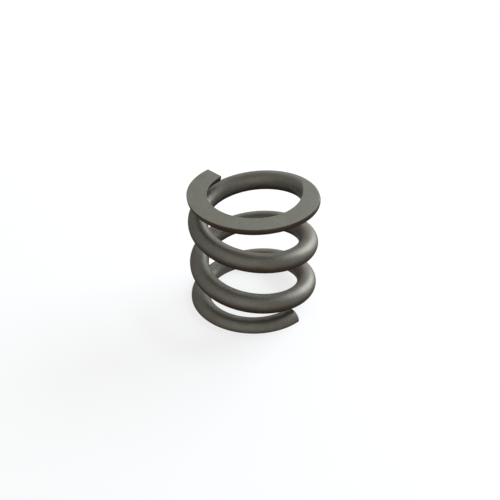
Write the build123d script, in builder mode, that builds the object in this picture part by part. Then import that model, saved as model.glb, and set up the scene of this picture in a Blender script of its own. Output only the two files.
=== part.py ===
from build123d import *
from math import cos, radians, sin, tau
import os

# A short, stiff compression spring, cold wound left-handed from one round wire, with closed and
# ground ends. Its axis is +Z and the bottom ground end lies on z = 0. Turns are counted from the cut
# end at the top, counter-clockwise seen from above. Millimetres.

# The finished spring
outside_diameter = 10.0
wire_diameter = 1.5
free_length = 9.5
total_turns = 3.5
top_end_bearing = 135  # degrees from +X to the cut end at the top

# The two closed ends are alike: what the grinding leaves of the wire at the cut, the gap from the cut
# end to the turn beside it, and the share of the flat winding over which the pitch rises from nothing
tip_thickness = 0.79
end_turn_gap = 0.37
pitch_rise_share = 0.2

points_per_turn = 24  # on the wire's centre line
outline_seam = 50  # degrees from the outermost point of the wire to the nearest seam of its outline

centre_radius = (outside_diameter - wire_diameter) / 2
top_centre_height = free_length - tip_thickness + wire_diameter / 2
bottom_centre_height = tip_thickness - wire_diameter / 2

# Each end turn drops only by the wire and the gap, and the turns between them share the rest
end_turn_drop = wire_diameter + end_turn_gap
working_pitch = (top_centre_height - bottom_centre_height - 2 * end_turn_drop) / (total_turns - 2)
flat_winding = 1 - end_turn_drop / working_pitch
rise_turns = 2 * flat_winding * pitch_rise_share
closed_turns = flat_winding - rise_turns / 2


def drop_from_end(turns):
    """How far the wire's centre has come from the height of its nearer cut end."""
    risen = min(max((turns - closed_turns) / rise_turns, 0), 1)
    at_full_pitch = max(turns - closed_turns - rise_turns, 0)
    return working_pitch * (rise_turns * (risen**3 - risen**4 / 2) + at_full_pitch)


def outwards(turns):
    """The level direction from the axis to the wire at this many turns from the top cut end."""
    bearing = radians(top_end_bearing) + tau * turns
    return Vector(cos(bearing), sin(bearing), 0)


def wire_centre(turns):
    """The wire's centre at this many turns from the top cut end."""
    if turns < total_turns / 2:
        height = top_centre_height - drop_from_end(turns)
    else:
        height = bottom_centre_height + drop_from_end(total_turns - turns)
    return centre_radius * outwards(turns) + Vector(0, 0, height)


# The wire is swept along its centre line, and both ends are then ground flat and square. Its outline
# stays four arcs, which meet away from the top and the bottom, where the grinding runs out
steps = round(points_per_turn * total_turns)
with BuildPart() as clutch_spring:
    with BuildLine() as centre_line:
        Spline([wire_centre(total_turns * step / steps) for step in range(steps + 1)])
    cut_end = Plane(origin=centre_line.line @ 0, x_dir=outwards(0), z_dir=centre_line.line % 0)
    outline = [
        Edge.make_circle(wire_diameter / 2, cut_end, start_angle=seam, end_angle=seam + 90)
        for seam in range(outline_seam, outline_seam + 360, 90)
    ]
    sweep(Face(Wire(outline)), centre_line.line, is_frenet=True, clean=False)
    split(bisect_by=Plane.XY.offset(free_length), keep=Keep.BOTTOM)
    split(bisect_by=Plane.XY, keep=Keep.TOP)

clutch_spring.part.label = "clutch_spring"
os.makedirs("parts", exist_ok=True)
export_step(clutch_spring.part, "parts/clutch_spring.step")
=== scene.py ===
from math import atan2, cos, hypot, pi, radians, sin, sqrt, tau
import bpy
import numpy as np
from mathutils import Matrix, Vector


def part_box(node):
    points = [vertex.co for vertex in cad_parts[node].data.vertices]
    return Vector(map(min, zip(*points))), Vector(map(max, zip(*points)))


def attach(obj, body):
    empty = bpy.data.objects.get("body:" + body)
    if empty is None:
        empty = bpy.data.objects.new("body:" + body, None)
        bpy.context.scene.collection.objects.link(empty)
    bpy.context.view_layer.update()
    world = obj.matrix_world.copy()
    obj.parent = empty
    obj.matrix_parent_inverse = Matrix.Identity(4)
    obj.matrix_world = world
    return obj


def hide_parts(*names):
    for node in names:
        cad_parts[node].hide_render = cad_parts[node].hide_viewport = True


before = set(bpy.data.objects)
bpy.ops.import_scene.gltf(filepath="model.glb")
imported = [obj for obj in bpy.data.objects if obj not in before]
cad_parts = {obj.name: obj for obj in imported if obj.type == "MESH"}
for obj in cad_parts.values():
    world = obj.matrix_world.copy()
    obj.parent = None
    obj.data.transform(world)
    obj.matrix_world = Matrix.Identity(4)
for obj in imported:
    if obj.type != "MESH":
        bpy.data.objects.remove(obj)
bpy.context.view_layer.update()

# The wound wire
# The whole spring is one round steel wire. It is cold wound left-handed, cut off square at both ends,
# and its end turns are then ground flat, so that it stands square between two washers.
lowest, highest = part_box("clutch_spring")
outer_radius = min(-lowest.x, -lowest.y, highest.x, highest.y)
free_length = highest.z
wire_radius = 0.75e-3
total_turns = 3.5
top_end_bearing = radians(135)

# Each end turn is ground down to this thickness at the cut, and lies nearly flat, with this gap to the
# turn beside it there. The pitch then rises smoothly to that of the turns between
tip_thickness = 0.79e-3
end_turn_gap = 0.37e-3
pitch_rise_share = 0.2
centre_radius = outer_radius - wire_radius
top_centre_height = free_length - tip_thickness + wire_radius
bottom_centre_height = tip_thickness - wire_radius
end_turn_drop = 2 * wire_radius + end_turn_gap
working_pitch = (top_centre_height - bottom_centre_height - 2 * end_turn_drop) / (total_turns - 2)
flat_winding = 1 - end_turn_drop / working_pitch
rise_turns = 2 * flat_winding * pitch_rise_share
closed_turns = flat_winding - rise_turns / 2


def drop_from_end(turns):
    """How far the wire's centre has come from the height of its nearer cut end."""
    risen = np.clip((turns - closed_turns) / rise_turns, 0, 1)
    at_full_pitch = np.maximum(turns - closed_turns - rise_turns, 0)
    return working_pitch * (rise_turns * (risen**3 - risen**4 / 2) + at_full_pitch)


def steepness(turns):
    """The slope of the wire's centre line, as rise over run."""
    risen = np.clip((turns - closed_turns) / rise_turns, 0, 1)
    return working_pitch * risen**2 * (3 - 2 * risen) / (tau * centre_radius)


# The points of half a section: from the middle of the ground flat to a narrow border at its edge, over
# that edge, and round the rest of the wire. A flat that reaches less than the least lean to either side,
# as seen from the wire's middle, has no edge of its own
around = 80
flat_points, edge_points = 6, 4
near_steps = flat_points + edge_points
arc_points = around // 2 - near_steps
flat_border = 0.02e-3
least_lean = radians(10)
even_lean = tau * near_steps / around


def half_outline(radius, clearance, edge, evenness):
    """Half a section as (across, towards) pairs, from the pole that faces the grinding wheel to the other:
    a round of this radius, cut off at the clearance from its centre, with the edge radius on its corners."""
    half_flat = sqrt(max((radius - edge) ** 2 - (clearance - edge) ** 2, 0))
    lean = atan2(half_flat, clearance - edge)
    if lean < least_lean:
        lean = least_lean + (even_lean - least_lean) * evenness
        near = [lean * step / near_steps for step in range(near_steps + 1)]
        far = [lean + (pi - lean) * step / arc_points for step in range(1, arc_points + 1)]
        return [(radius * sin(angle), min(radius * cos(angle), clearance)) for angle in near + far]
    flat = [(half_flat - flat_border) * step / (flat_points - 1) for step in range(flat_points)]
    outline = [(across, clearance) for across in flat + [half_flat]]
    for step in range(1, edge_points + 1):
        angle = lean * step / edge_points
        outline.append((half_flat + edge * sin(angle), clearance - edge + edge * cos(angle)))
    for step in range(1, arc_points + 1):
        angle = lean + (pi - lean) * step / arc_points
        outline.append((radius * sin(angle), radius * cos(angle)))
    return outline


# The sections stand close together at the rounded rims of the cuts and where the grinding runs out,
# which is where the wire has come down by as much as was ground off at its cut
turns_per_metre = 1 / (tau * centre_radius)
sections_per_turn = 200
rim_radius = 0.02e-3
rim_steps = 4
rim_turns = rim_radius * turns_per_metre
rim = [rim_turns * (1 - cos(pi / 2 * step / rim_steps)) for step in range(rim_steps)]
half_way = np.linspace(rim_turns, total_turns / 2, round(sections_per_turn * total_turns / 2))
ground_off = 2 * wire_radius - tip_thickness
search_steps = 20000
searched = np.linspace(0, total_turns / 2, search_steps + 1)
run_out_turns = np.interp(ground_off, drop_from_end(searched), searched)
before_run_out, past_run_out, run_out_sections = 0.02, 0.004, 33
run_out = np.linspace(run_out_turns - before_run_out, run_out_turns + past_run_out, run_out_sections)
from_cut = np.unique(np.concatenate([rim, half_way, run_out]))
stations = np.concatenate([from_cut, total_turns - from_cut[-2::-1]])

# The flats' edges are crisp, and get softer where the grinding runs out. Past that, the points spread
# evenly round the wire
crisp_edge, soft_edge, least_edge = 0.012e-3, 0.14e-3, 0.002e-3
softening_turns, evening_turns = 0.075, 0.08


def smooth_step(share):
    """Rises smoothly from 0 to 1 as the share does."""
    share = min(max(share, 0), 1)
    return share**2 * (3 - 2 * share)


def section(turns, inset):
    """The ring of points round the wire this many turns from the top cut end, and where each lies in it."""
    upper = turns < total_turns / 2
    from_end = turns if upper else total_turns - turns
    drop = drop_from_end(from_end)
    height = top_centre_height - drop if upper else bottom_centre_height + drop
    clearance = free_length - height if upper else height
    lengthened = sqrt(1 + steepness(from_end) ** 2)
    softness = smooth_step(1 - (run_out_turns - from_end) / softening_turns)
    edge = crisp_edge + (soft_edge - crisp_edge) * softness
    half = half_outline(
        wire_radius - inset,
        clearance / lengthened - inset,
        max(edge - inset, least_edge),
        smooth_step((from_end - run_out_turns) / evening_turns),
    )
    side = half if upper else [(across, -towards) for across, towards in reversed(half)]
    ring = side + [(-across, up) for across, up in reversed(side[1:-1])]
    bearing = top_end_bearing + tau * turns
    points = [
        (
            (centre_radius + across) * cos(bearing),
            (centre_radius + across) * sin(bearing),
            height + up * lengthened,
        )
        for across, up in ring
    ]
    return points, [(turns / turns_per_metre, across, up) for across, up in ring]


# Each cut's face starts inside its rounded rim, past a narrow border that keeps its shading flat
points, places = [], []
face_border = 0.015e-3
rings = [(0, rim_radius + face_border)]
for turns in stations:
    into_rim = max(rim_turns - min(turns, total_turns - turns), 0) / turns_per_metre
    rings.append((turns, rim_radius - sqrt(rim_radius**2 - into_rim**2)))
rings.append((total_turns, rim_radius + face_border))
for turns, inset in rings:
    ring_points, ring_places = section(turns, inset)
    points += ring_points
    places += ring_places

faces = [
    (
        ring * around + step,
        ring * around + (step + 1) % around,
        (ring + 1) * around + (step + 1) % around,
        (ring + 1) * around + step,
    )
    for ring in range(len(rings) - 1)
    for step in range(around)
]
wound_faces = len(faces)
faces.append(tuple(reversed(range(around))))
faces.append(tuple(range(len(points) - around, len(points))))
wire_mesh = bpy.data.meshes.new("wound_wire")
wire_mesh.from_pydata(points, [], faces)
wire_mesh.shade_smooth()

# Where each point lies in the wire: along it, out from its middle, and up
wound = wire_mesh.attributes.new("wound", "FLOAT_VECTOR", "POINT")
wound.data.foreach_set("vector", np.array(places, np.float32).ravel())

# The unrolled skin lies in strips, one above the other, on the map that colours are baked on, with the
# two cuts beside them
strips = 5
map_gap = 0.15e-3
girth = tau * wire_radius
map_side = strips * (girth + map_gap) + map_gap
travelled = [0.0]
for (turns, inset), (next_turns, next_inset) in zip(rings, rings[1:]):
    travelled.append(travelled[-1] + hypot((next_turns - turns) / turns_per_metre, next_inset - inset))
travelled = np.array(travelled)
strip_of = (travelled[:-1] / travelled[-1] * strips).astype(int)
strip_start = np.array([travelled[:-1][strip_of == strip].min() for strip in range(strips)])
near = travelled[:-1] - strip_start[strip_of]
far = travelled[1:] - strip_start[strip_of]
skin_map = np.zeros((len(rings) - 1, around, 4, 2))
skin_map[..., 0] = map_gap + np.stack([near, near, far, far], axis=1)[:, None]
skin_map[..., 1] = girth / around * (np.arange(around)[:, None] + [0, 1, 1, 0])
skin_map[..., 1] += map_gap + (strip_of * (girth + map_gap))[:, None, None]
cut_places = np.array(places)[:, 1:].reshape(-1, around, 2)[[0, -1]]
cut_places[0] = cut_places[0][::-1]
cut_column = map_side - map_gap - wire_radius
cut_middles = np.array([[cut_column, map_side / 4], [cut_column, map_side * 3 / 4]])
cut_map = cut_middles[:, None] + cut_places
baking_map = wire_mesh.uv_layers.new(name="OFBake")
baking_map.uv.foreach_set("vector", np.concatenate([skin_map.ravel(), cut_map.ravel()]) / map_side)

# The finishes by number: the skin is 0, and the two ground flats and the two cuts follow it
ground_number, cut_number = 1, 2
level_error = 1e-9
heights = np.array(points)[:, 2]
on_wheel = (np.abs(heights) < level_error) | (np.abs(heights - free_length) < level_error)
cut_faces = {*range(around), *range(wound_faces - around, len(faces))}
for number, face in enumerate(faces):
    if number in cut_faces:
        wire_mesh.polygons[number].material_index = cut_number
    elif on_wheel[list(face)].all():
        wire_mesh.polygons[number].material_index = ground_number
wound_wire = bpy.data.objects.new("wound_wire", wire_mesh)
bpy.context.scene.collection.objects.link(wound_wire)


def add(tree, kind, inputs=None, **settings):
    """Adds a node with its settings, and sets or links each named or numbered input."""
    made = tree.nodes.new(kind)
    for name, value in settings.items():
        setattr(made, name, value)
    for socket, value in (inputs or {}).items():
        if isinstance(value, bpy.types.NodeSocket):
            tree.links.new(value, made.inputs[socket])
        else:
            made.inputs[socket].default_value = value
    return made


def new_effect(name, takes, gives):
    """A shader node group with these inputs and outputs, its inputs' sockets and its end node."""
    tree = bpy.data.node_groups.new(name, "ShaderNodeTree")
    for socket, kind in takes.items():
        tree.interface.new_socket(name=socket, in_out="INPUT", socket_type=kind)
    for socket, kind in gives.items():
        tree.interface.new_socket(name=socket, in_out="OUTPUT", socket_type=kind)
    return tree, tree.nodes.new("NodeGroupInput").outputs, tree.nodes.new("NodeGroupOutput")


# Peening leaves the skin covered with shallow round dimples that overlap, in two sizes
finer_by, finer_depth = 1.9, 0.45
dimple_overlap, dimple_reach = 0.35, 0.75
peening, given, ends = new_effect(
    "peening",
    {"Vector": "NodeSocketVector", "Dimple Width": "NodeSocketFloat"},
    {"Height": "NodeSocketFloat"},
)
per_metre = add(peening, "ShaderNodeMath", {0: 1.0, 1: given["Dimple Width"]}, operation="DIVIDE")
finer = add(peening, "ShaderNodeMath", {0: per_metre.outputs[0], 1: finer_by}, operation="MULTIPLY")
depths = []
for scale in (per_metre, finer):
    cells = add(
        peening,
        "ShaderNodeTexVoronoi",
        {"Vector": given["Vector"], "Scale": scale.outputs[0], "Smoothness": dimple_overlap},
        feature="SMOOTH_F1",
    )
    depth = add(
        peening,
        "ShaderNodeMapRange",
        {0: cells.outputs["Distance"], 2: dimple_reach},
        interpolation_type="SMOOTHSTEP",
    )
    depths.append(depth.outputs[0])
shallow = add(peening, "ShaderNodeMath", {0: depths[1], 1: finer_depth}, operation="MULTIPLY")
both = add(peening, "ShaderNodeMath", {0: depths[0], 1: shallow.outputs[0]}, operation="ADD")
peening.links.new(both.outputs[0], ends.inputs["Height"])

# The oxide on the steel is uneven: patches of grey and of a faint brown, with a fine speckle over both
least_brown, most_brown = 0.36, 0.66
specks_per_patch = 10.0
noise_middle = 0.5
oxide, given, ends = new_effect(
    "oxide",
    {
        "Vector": "NodeSocketVector",
        "Patch Size": "NodeSocketFloat",
        "Grey": "NodeSocketColor",
        "Brown": "NodeSocketColor",
        "Speckle": "NodeSocketFloat",
    },
    {"Color": "NodeSocketColor"},
)
per_patch = add(oxide, "ShaderNodeMath", {0: 1.0, 1: given["Patch Size"]}, operation="DIVIDE")
patches = add(
    oxide,
    "ShaderNodeTexNoise",
    {"Vector": given["Vector"], "Scale": per_patch.outputs[0], "Detail": 4.0, "Roughness": 0.55},
)
share = add(oxide, "ShaderNodeMapRange", {0: patches.outputs["Fac"], 1: least_brown, 2: most_brown})
film = add(
    oxide,
    "ShaderNodeMix",
    {"Factor": share.outputs[0], "A": given["Grey"], "B": given["Brown"]},
    data_type="RGBA",
)
per_speck = add(
    oxide,
    "ShaderNodeMath",
    {0: per_patch.outputs[0], 1: specks_per_patch},
    operation="MULTIPLY",
)
specks = add(
    oxide,
    "ShaderNodeTexNoise",
    {"Vector": given["Vector"], "Scale": per_speck.outputs[0], "Detail": 2.0},
)
swing = add(oxide, "ShaderNodeMath", {0: specks.outputs["Fac"], 1: -noise_middle}, operation="ADD")
brightness = add(
    oxide,
    "ShaderNodeMath",
    {0: swing.outputs[0], 1: given["Speckle"], 2: 1.0},
    operation="MULTIPLY_ADD",
)
speckled = add(
    oxide,
    "ShaderNodeVectorMath",
    {0: film.outputs["Result"], "Scale": brightness.outputs[0]},
    operation="SCALE",
)
oxide.links.new(speckled.outputs[0], ends.inputs["Color"])


def new_finish(name):
    """A material, its node tree and its shader."""
    finish = bpy.data.materials.new(name)
    finish.use_nodes = True
    return finish, finish.node_tree, finish.node_tree.nodes["Principled BSDF"]


# Seen aslant, the oxide keeps the steel darker than bare metal would be
seen_aslant = (0.5, 0.5, 0.5, 1)

# The skin: dark satin steel, peened over faint drawn lines. Each turn's underside carries painted shade,
# darker and browner, a little more so towards the outside, with a wandering border
skin, tree, shader = new_finish("peened_skin")
place = add(tree, "ShaderNodeTexCoord").outputs["Object"]
film = add(
    tree,
    "ShaderNodeGroup",
    {
        "Vector": place,
        "Patch Size": 1.1e-3,
        "Grey": (0.1, 0.098, 0.083, 1),
        "Brown": (0.096, 0.086, 0.072, 1),
        "Speckle": 0.6,
    },
    node_tree=oxide,
)
up_and_in = (0, -0.12, 1)
border_wander = 0.4e-3
# The painted shade on the undersides: where it begins, where it is full, and the colour it multiplies by
shade_begins, shade_is_full = 0.43e-3, -0.07e-3
painted_underside_shade = (0.47, 0.33, 0.28, 1)
in_wire = add(tree, "ShaderNodeAttribute", attribute_name="wound").outputs["Vector"]
facing_up = add(tree, "ShaderNodeVectorMath", {0: in_wire, 1: up_and_in}, operation="DOT_PRODUCT")
wander = add(tree, "ShaderNodeTexNoise", {"Vector": place, "Scale": 600.0, "Detail": 3.0})
wandered = add(
    tree,
    "ShaderNodeMath",
    {0: wander.outputs["Fac"], 1: border_wander, 2: facing_up.outputs["Value"]},
    operation="MULTIPLY_ADD",
)
underside_shade = add(
    tree,
    "ShaderNodeMapRange",
    {0: wandered.outputs[0], 1: shade_begins, 2: shade_is_full},
    interpolation_type="SMOOTHSTEP",
)
shaded_under = add(
    tree,
    "ShaderNodeMix",
    {"Factor": underside_shade.outputs[0], "A": film.outputs["Color"], "B": painted_underside_shade},
    data_type="RGBA",
    blend_type="MULTIPLY",
)

# Beside the ground flats, the wheel has just touched the peaks of the skin
touched_depth = 0.02e-3
first_touched, all_touched = 0.7, 1.1
touched_grey = (0.104, 0.104, 0.087, 1)
level = add(tree, "ShaderNodeSeparateXYZ", {0: place}).outputs["Z"]
near_top = add(tree, "ShaderNodeMapRange", {0: level, 1: free_length - touched_depth, 2: free_length})
near_foot = add(tree, "ShaderNodeMapRange", {0: level, 1: touched_depth, 2: 0.0})
nearness = add(
    tree,
    "ShaderNodeMath",
    {0: near_top.outputs[0], 1: near_foot.outputs[0]},
    operation="MAXIMUM",
)
peaks = add(tree, "ShaderNodeTexNoise", {"Vector": place, "Scale": 9000.0, "Detail": 2.0})
reached = add(tree, "ShaderNodeMath", {0: nearness.outputs[0], 1: peaks.outputs["Fac"]}, operation="ADD")
touched = add(tree, "ShaderNodeMapRange", {0: reached.outputs[0], 1: first_touched, 2: all_touched})
brushed = add(
    tree,
    "ShaderNodeMix",
    {"Factor": touched.outputs[0], "A": shaded_under.outputs["Result"], "B": touched_grey},
    data_type="RGBA",
)
tree.links.new(brushed.outputs["Result"], shader.inputs["Base Color"])

# The drawn lines are long along the wire and half as deep as the dimples
line_stretch = (0.03, 1, 1)
line_depth = 0.5
skin_relief = 0.003e-3
drawn = add(tree, "ShaderNodeVectorMath", {0: in_wire, 1: line_stretch}, operation="MULTIPLY")
lines = add(tree, "ShaderNodeTexNoise", {"Vector": drawn.outputs[0], "Scale": 18000.0, "Detail": 2.0})
dimples = add(tree, "ShaderNodeGroup", {"Vector": place, "Dimple Width": 0.13e-3}, node_tree=peening)
height = add(
    tree,
    "ShaderNodeMath",
    {0: lines.outputs["Fac"], 1: line_depth, 2: dimples.outputs["Height"]},
    operation="MULTIPLY_ADD",
)
relief = add(
    tree,
    "ShaderNodeBump",
    {"Strength": 1.0, "Distance": skin_relief, "Height": height.outputs[0]},
)
tree.links.new(relief.outputs["Normal"], shader.inputs["Normal"])
noise_low, noise_high = 0.3, 0.7
least_dull, most_dull = 0.5, 0.56
dulled = add(
    tree,
    "ShaderNodeMapRange",
    {0: wander.outputs["Fac"], 1: noise_low, 2: noise_high, 3: least_dull, 4: most_dull},
)
tree.links.new(dulled.outputs[0], shader.inputs["Roughness"])
shader.inputs["Metallic"].default_value = 1.0
shader.inputs["Specular Tint"].default_value = seen_aslant

# The ground flats: an even grey with a fine sandy grain, and the wheel's marks across it in faint arcs
ground, tree, shader = new_finish("ground_flat")
place = add(tree, "ShaderNodeTexCoord").outputs["Object"]
film = add(
    tree,
    "ShaderNodeGroup",
    {
        "Vector": place,
        "Patch Size": 0.9e-3,
        "Grey": (0.127, 0.127, 0.107, 1),
        "Brown": (0.123, 0.118, 0.098, 1),
        "Speckle": 0.7,
    },
    node_tree=oxide,
)
wheel_centre = (-0.07, 0.045, 0)
darkest_mark, lightest_mark = 0.94, 1.06
mark_depth = 0.6
ground_relief = 0.0018e-3
on_flat = add(tree, "ShaderNodeVectorMath", {0: place, 1: (1, 1, 0)}, operation="MULTIPLY")
from_wheel = add(
    tree,
    "ShaderNodeVectorMath",
    {0: on_flat.outputs[0], 1: wheel_centre},
    operation="DISTANCE",
)
marks = add(
    tree,
    "ShaderNodeTexNoise",
    {"W": from_wheel.outputs["Value"], "Scale": 22000.0, "Detail": 3.0},
    noise_dimensions="1D",
)
tone = add(
    tree,
    "ShaderNodeMapRange",
    {0: marks.outputs["Fac"], 1: noise_low, 2: noise_high, 3: darkest_mark, 4: lightest_mark},
)
marked = add(
    tree,
    "ShaderNodeVectorMath",
    {0: film.outputs["Color"], "Scale": tone.outputs[0]},
    operation="SCALE",
)
tree.links.new(marked.outputs[0], shader.inputs["Base Color"])
grain = add(tree, "ShaderNodeTexNoise", {"Vector": place, "Scale": 20000.0, "Detail": 2.0})
height = add(
    tree,
    "ShaderNodeMath",
    {0: marks.outputs["Fac"], 1: mark_depth, 2: grain.outputs["Fac"]},
    operation="MULTIPLY_ADD",
)
relief = add(
    tree,
    "ShaderNodeBump",
    {"Strength": 1.0, "Distance": ground_relief, "Height": height.outputs[0]},
)
tree.links.new(relief.outputs["Normal"], shader.inputs["Normal"])
shader.inputs["Metallic"].default_value = 1.0
shader.inputs["Specular Tint"].default_value = (0.45, 0.45, 0.45, 1)
shader.inputs["Roughness"].default_value = 0.7

# The cuts: the cutter came in from outside and left a smooth zone with drag lines, and the rest broke off
# with a coarse grain
cut, tree, shader = new_finish("sheared_cut")
place = add(tree, "ShaderNodeTexCoord").outputs["Object"]
border_wander = 0.5e-3
still_smooth, broken_off = 0.5e-3, 0.4e-3
smooth_grey = (0.14, 0.136, 0.12, 1)
broken_grey = (0.085, 0.079, 0.068, 1)
in_wire = add(tree, "ShaderNodeAttribute", attribute_name="wound").outputs["Vector"]
outwards = add(tree, "ShaderNodeSeparateXYZ", {0: in_wire}).outputs["Y"]
wander = add(tree, "ShaderNodeTexNoise", {"Vector": place, "Scale": 2500.0, "Detail": 3.0})
wandered = add(
    tree,
    "ShaderNodeMath",
    {0: wander.outputs["Fac"], 1: border_wander, 2: outwards},
    operation="MULTIPLY_ADD",
)
broken = add(tree, "ShaderNodeMapRange", {0: wandered.outputs[0], 1: still_smooth, 2: broken_off})
bared = add(
    tree,
    "ShaderNodeMix",
    {"Factor": broken.outputs[0], "A": smooth_grey, "B": broken_grey},
    data_type="RGBA",
)
tree.links.new(bared.outputs["Result"], shader.inputs["Base Color"])
drag_stretch = (0, 0.06, 1)
least_coarse, most_coarse = -1.0, 2.0
cut_relief = 0.003e-3
dragged = add(tree, "ShaderNodeVectorMath", {0: in_wire, 1: drag_stretch}, operation="MULTIPLY")
lines = add(tree, "ShaderNodeTexNoise", {"Vector": dragged.outputs[0], "Scale": 22000.0, "Detail": 2.0})
grain = add(tree, "ShaderNodeTexNoise", {"Vector": place, "Scale": 14000.0, "Detail": 4.0})
coarse = add(tree, "ShaderNodeMapRange", {0: grain.outputs["Fac"], 3: least_coarse, 4: most_coarse})
height = add(
    tree,
    "ShaderNodeMix",
    {"Factor": broken.outputs[0], "A": lines.outputs["Fac"], "B": coarse.outputs[0]},
)
relief = add(
    tree,
    "ShaderNodeBump",
    {"Strength": 1.0, "Distance": cut_relief, "Height": height.outputs["Result"]},
)
tree.links.new(relief.outputs["Normal"], shader.inputs["Normal"])
smooth_dull, broken_dull = 0.4, 0.65
dulled = add(tree, "ShaderNodeMapRange", {0: broken.outputs[0], 3: smooth_dull, 4: broken_dull})
tree.links.new(dulled.outputs[0], shader.inputs["Roughness"])
shader.inputs["Metallic"].default_value = 1.0
shader.inputs["Specular Tint"].default_value = seen_aslant

for finish in (skin, ground, cut):
    wire_mesh.materials.append(finish)
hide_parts("clutch_spring")
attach(wound_wire, "root")

# The studio
# A pale floor under the spring and soft light all round. A lamp behind it on the right gives the
# highlight, and two weak ones hang before and behind it. The camera looks down at the photograph's angle.
floor_half = 1.0
floor_gap = 1e-6
floor_mesh = bpy.data.meshes.new("floor")
corners = [(-1, -1), (1, -1), (1, 1), (-1, 1)]
floor_mesh.from_pydata([(x * floor_half, y * floor_half, 0) for x, y in corners], [], [(0, 1, 2, 3)])
floor = bpy.data.objects.new("floor", floor_mesh)
bpy.context.scene.collection.objects.link(floor)
floor.location.z = -floor_gap


def background_rays(tree):
    """1 for the rays that show the background, straight from the camera or by way of metal or glass."""
    rays = add(tree, "ShaderNodeLightPath")
    seen = add(
        tree,
        "ShaderNodeMath",
        {0: rays.outputs["Is Camera Ray"], 1: rays.outputs["Is Glossy Ray"]},
        operation="MAXIMUM",
    )
    seen_through = add(
        tree,
        "ShaderNodeMath",
        {0: seen.outputs[0], 1: rays.outputs["Is Transmission Ray"]},
        operation="MAXIMUM",
    )
    return seen_through.outputs[0]


# The floor is shown white, but less so round the spring, so that it keeps a shadow. From below it is
# clear, so that the foot can be seen
shadow_radius, white_radius = 0.015, 0.08
least_white = 0.75
floor_finish, tree, shader = new_finish("floor")
shader.inputs["Base Color"].default_value = (0.9, 0.9, 0.9, 1)
shader.inputs["Roughness"].default_value = 0.9
shader.inputs["Specular IOR Level"].default_value = 0.0
white = add(tree, "ShaderNodeEmission", {"Strength": 1.0})
place = add(tree, "ShaderNodeTexCoord").outputs["Object"]
away = add(tree, "ShaderNodeVectorMath", {0: place}, operation="LENGTH")
whiteness = add(
    tree,
    "ShaderNodeMapRange",
    {0: away.outputs["Value"], 1: shadow_radius, 2: white_radius, 3: least_white, 4: 1.0},
    interpolation_type="SMOOTHSTEP",
)
shown_white = add(
    tree,
    "ShaderNodeMath",
    {0: background_rays(tree), 1: whiteness.outputs[0]},
    operation="MULTIPLY",
)
surface = add(
    tree,
    "ShaderNodeMixShader",
    {0: shown_white.outputs[0], 1: shader.outputs[0], 2: white.outputs[0]},
)
behind = add(tree, "ShaderNodeNewGeometry").outputs["Backfacing"]
clear = add(tree, "ShaderNodeBsdfTransparent")
one_sided = add(tree, "ShaderNodeMixShader", {0: behind, 1: surface.outputs[0], 2: clear.outputs[0]})
tree.links.new(one_sided.outputs[0], tree.nodes["Material Output"].inputs["Surface"])
floor_mesh.materials.append(floor_finish)

world = bpy.data.worlds.new("studio")
bpy.context.scene.world = world
world.use_nodes = True
tree = world.node_tree
soft_light = tree.nodes["Background"]
soft_light.inputs["Color"].default_value = (1, 1, 1, 1)
soft_light.inputs["Strength"].default_value = 0.3
white = add(tree, "ShaderNodeBackground", {"Color": (1, 1, 1, 1), "Strength": 1.0})
sky = add(
    tree,
    "ShaderNodeMixShader",
    {0: background_rays(tree), 1: soft_light.outputs[0], 2: white.outputs[0]},
)
tree.links.new(sky.outputs[0], tree.nodes["World Output"].inputs["Surface"])

spring_middle = Vector((0, 0, free_length / 2))
lamp_distance = 0.12


def hang_lamp(name, bearing, elevation, size, watts, color):
    """A square soft lamp, at this bearing and elevation in degrees, that points at the spring's middle."""
    light = bpy.data.lights.new(name, "AREA")
    light.size = size
    light.energy = watts
    light.color = color
    lamp = bpy.data.objects.new(name, light)
    turned, raised = radians(bearing), radians(elevation)
    away = Vector((cos(turned) * cos(raised), sin(turned) * cos(raised), sin(raised)))
    lamp.location = spring_middle + away * lamp_distance
    lamp.rotation_mode = "QUATERNION"
    lamp.rotation_quaternion = away.to_track_quat("Z", "Y")
    lamp.visible_camera = False
    bpy.context.scene.collection.objects.link(lamp)


hang_lamp("key_lamp", bearing=37.5, elevation=21, size=0.087, watts=0.29, color=(0.9, 1.0, 1.08))
hang_lamp("front_lamp", bearing=255, elevation=30, size=0.14, watts=0.048, color=(1, 1, 1))
hang_lamp("back_lamp", bearing=85, elevation=24, size=0.1, watts=0.075, color=(1, 1, 1))

camera_elevation = radians(35.2)
camera_distance = 62.6e-3
looked_at = Vector((-0.27e-3, 0, 4.282e-3))
back = Vector((0, -cos(camera_elevation), sin(camera_elevation)))
camera = bpy.data.objects.new("camera", bpy.data.cameras.new("camera"))
camera.location = looked_at + back * camera_distance
camera.rotation_mode = "QUATERNION"
camera.rotation_quaternion = back.to_track_quat("Z", "Y")
camera.data.sensor_width = 36
camera.data.lens = 57.7
camera.data.clip_start = 0.001
camera.data.clip_end = 10
bpy.context.scene.collection.objects.link(camera)
bpy.context.scene.camera = camera
bpy.context.scene.view_settings.view_transform = "Standard"
